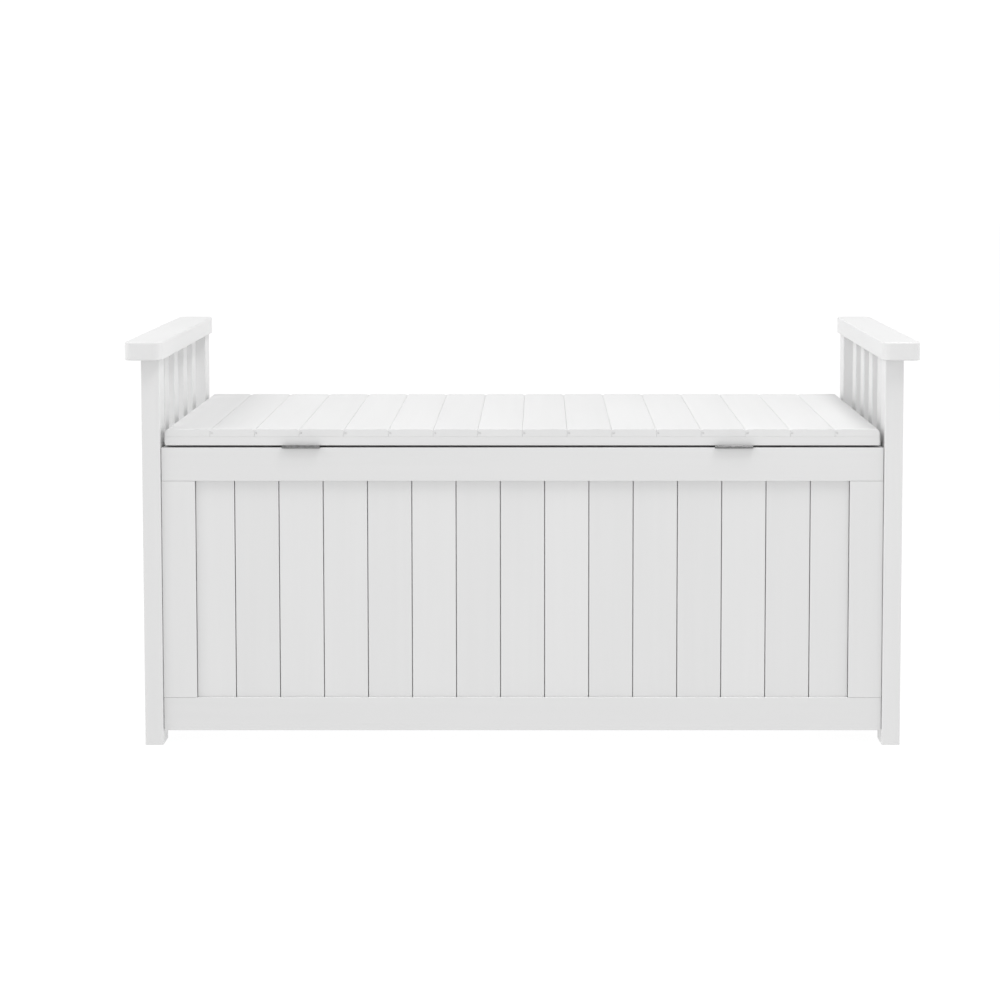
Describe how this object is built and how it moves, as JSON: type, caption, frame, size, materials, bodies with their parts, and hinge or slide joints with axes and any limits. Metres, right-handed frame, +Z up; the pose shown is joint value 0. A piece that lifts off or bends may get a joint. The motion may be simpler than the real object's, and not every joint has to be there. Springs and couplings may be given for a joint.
{
  "type": "storage bench",
  "caption": "Painted wooden storage bench: framed board sides, slatted arms with flat armrests, and a boarded seat lid hinged along one long side over a storage box.",
  "frame": {"origin": "on the floor under the middle of the bench", "axes": "+X along the bench from the left arm to the right arm, seen from the hinged rear; +Y from the hinged rear to the opening front; +Z up"},
  "size_m": [1.302, 0.65, 0.67],
  "materials": {
    "white_painted_wood": "satin white paint over softwood",
    "painted_plywood": "thin matt white paint over plywood",
    "zinc_steel": "zinc plated",
    "black_rubber": "matt"
  },
  "bodies": {
    "base": {"rear_left_post": "white_painted_wood", "rear_right_post": "white_painted_wood", "front_left_post": "white_painted_wood", "front_right_post": "white_painted_wood", "rear_top_rail": "white_painted_wood", "rear_bottom_rail": "white_painted_wood", "rear_left_stile": "white_painted_wood", "rear_right_stile": "white_painted_wood", "rear_board_panel": "white_painted_wood", "front_top_rail": "white_painted_wood", "front_bottom_rail": "white_painted_wood", "front_left_stile": "white_painted_wood", "front_right_stile": "white_painted_wood", "front_board_panel": "white_painted_wood", "left_end_top_rail": "white_painted_wood", "left_end_bottom_rail": "white_painted_wood", "left_end_board_panel": "white_painted_wood", "right_end_top_rail": "white_painted_wood", "right_end_bottom_rail": "white_painted_wood", "right_end_board_panel": "white_painted_wood", "left_arm_slat_1": "white_painted_wood", "left_arm_slat_2": "white_painted_wood", "left_arm_slat_3": "white_painted_wood", "left_arm_slat_4": "white_painted_wood", "right_arm_slat_1": "white_painted_wood", "right_arm_slat_2": "white_painted_wood", "right_arm_slat_3": "white_painted_wood", "right_arm_slat_4": "white_painted_wood", "left_armrest": "white_painted_wood", "right_armrest": "white_painted_wood", "floor_panel": "painted_plywood", "rear_floor_batten": "white_painted_wood", "front_floor_batten": "white_painted_wood", "left_hinge_frame_leaf": "zinc_steel", "right_hinge_frame_leaf": "zinc_steel", "left_hinge_pin": "zinc_steel", "right_hinge_pin": "zinc_steel", "left_lid_bumper": "black_rubber", "right_lid_bumper": "black_rubber"},
    "lid": {"lid_board_01": "white_painted_wood", "lid_board_02": "white_painted_wood", "lid_board_03": "white_painted_wood", "lid_board_04": "white_painted_wood", "lid_board_05": "white_painted_wood", "lid_board_06": "white_painted_wood", "lid_board_07": "white_painted_wood", "lid_board_08": "white_painted_wood", "lid_board_09": "white_painted_wood", "lid_board_10": "white_painted_wood", "lid_board_11": "white_painted_wood", "lid_board_12": "white_painted_wood", "lid_board_13": "white_painted_wood", "lid_board_14": "white_painted_wood", "lid_board_15": "white_painted_wood", "lid_board_16": "white_painted_wood", "lid_rear_batten": "white_painted_wood", "lid_middle_batten": "white_painted_wood", "lid_front_batten": "white_painted_wood", "left_hinge_lid_leaf": "zinc_steel", "right_hinge_lid_leaf": "zinc_steel"}
  },
  "joints": [
    {"name": "lid_hinge", "type": "hinge", "parent": "base", "child": "lid", "pos_m": [0, -0.3099, 0.4967], "axis": [1, 0, 0], "range_deg": [0, 100]}
  ]
}
